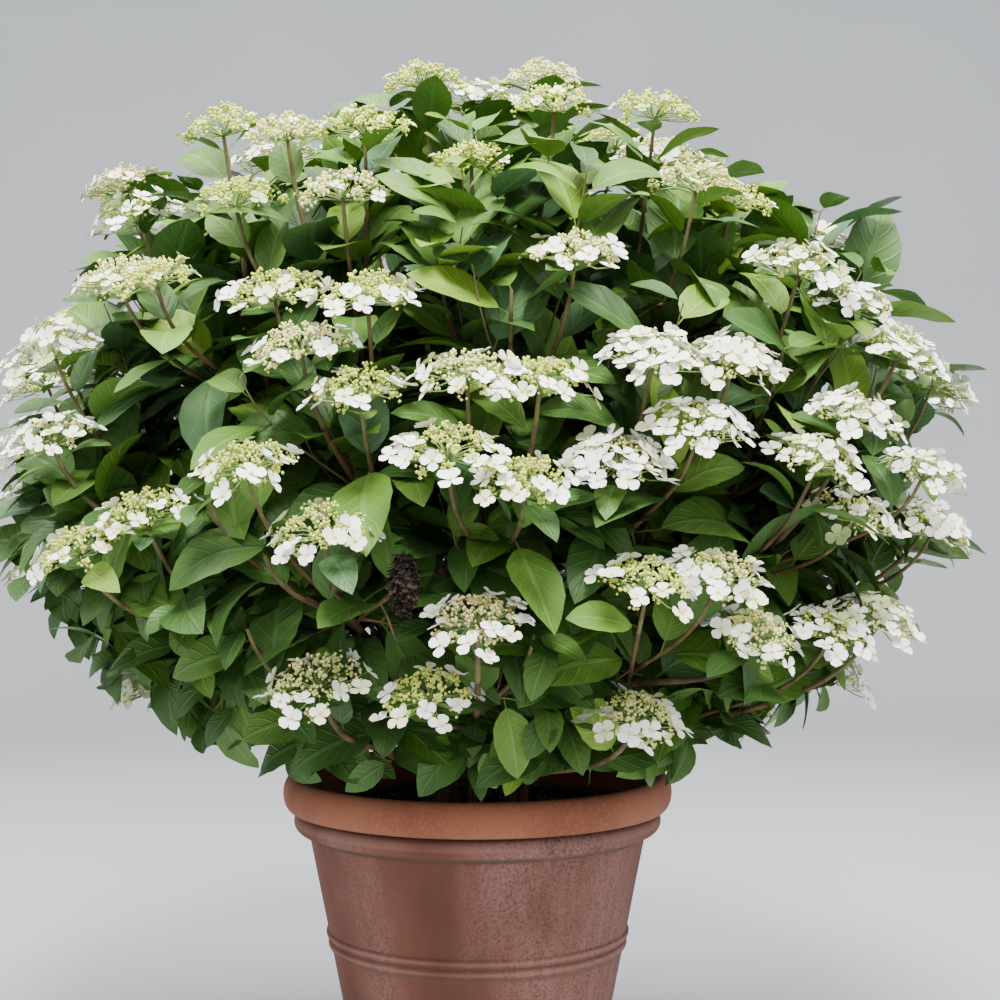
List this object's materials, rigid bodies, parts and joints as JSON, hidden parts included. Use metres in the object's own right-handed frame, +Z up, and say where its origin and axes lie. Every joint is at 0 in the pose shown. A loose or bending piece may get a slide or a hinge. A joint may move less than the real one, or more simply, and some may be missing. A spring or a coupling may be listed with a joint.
{
  "type": "potted shrub",
  "caption": "Rounded flowering shrub with white and green flower heads and ovate leaves, grown on several stems from a tapering round terracotta pot with a rolled rim.",
  "frame": {"origin": "middle of the pot's flat underside, on the ground", "axes": "+Z up along the pot's axis, -Y towards the viewer of the picture, +X to the viewer's right"},
  "size_m": [1.2416, 1.1278, 1.2639],
  "materials": {
    "terracotta": "weathered matt",
    "compost": "rough",
    "bark": "satin",
    "foliage": "satin"
  },
  "bodies": {
    "root": {"bough_back_left_side": "bark", "bough_back_left_upper": "bark", "bough_back_lower": "bark", "bough_back_middle": "bark", "bough_back_right_side": "bark", "bough_back_right_upper": "bark", "bough_front_left_lower": "bark", "bough_front_left_upper": "bark", "bough_front_lower": "bark", "bough_front_right_lower": "bark", "bough_front_right_upper": "bark", "bough_front_upper": "bark", "bough_left_lower": "bark", "bough_left_upper": "bark", "bough_right_lower": "bark", "bough_right_upper": "bark", "bough_top_back": "bark", "bough_top_left": "bark", "bough_top_right": "bark", "foliage_back_left_middle": "foliage", "foliage_back_left_side": "foliage", "foliage_back_left_upper": "foliage", "foliage_back_lower": "foliage", "foliage_back_middle": "foliage", "foliage_back_right_middle": "foliage", "foliage_back_right_side": "foliage", "foliage_back_right_upper": "foliage", "foliage_back_upper": "foliage", "foliage_front_left_lower": "foliage", "foliage_front_left_middle": "foliage", "foliage_front_left_upper": "foliage", "foliage_front_lower": "foliage", "foliage_front_middle": "foliage", "foliage_front_right_lower": "foliage", "foliage_front_right_middle": "foliage", "foliage_front_right_upper": "foliage", "foliage_front_upper": "foliage", "foliage_left_lower": "foliage", "foliage_left_middle": "foliage", "foliage_left_upper": "foliage", "foliage_right_lower": "foliage", "foliage_right_middle": "foliage", "foliage_right_upper": "foliage", "foliage_top": "foliage", "foliage_top_back": "foliage", "foliage_top_left": "foliage", "foliage_top_right": "foliage", "pot": "terracotta", "soil": "compost", "stem_back": "bark", "stem_back_left": "bark", "stem_back_right": "bark", "stem_centre": "bark", "stem_front": "bark", "stem_front_left": "bark", "stem_front_right": "bark", "stem_left": "bark", "stem_right": "bark"}
  },
  "joints": []
}
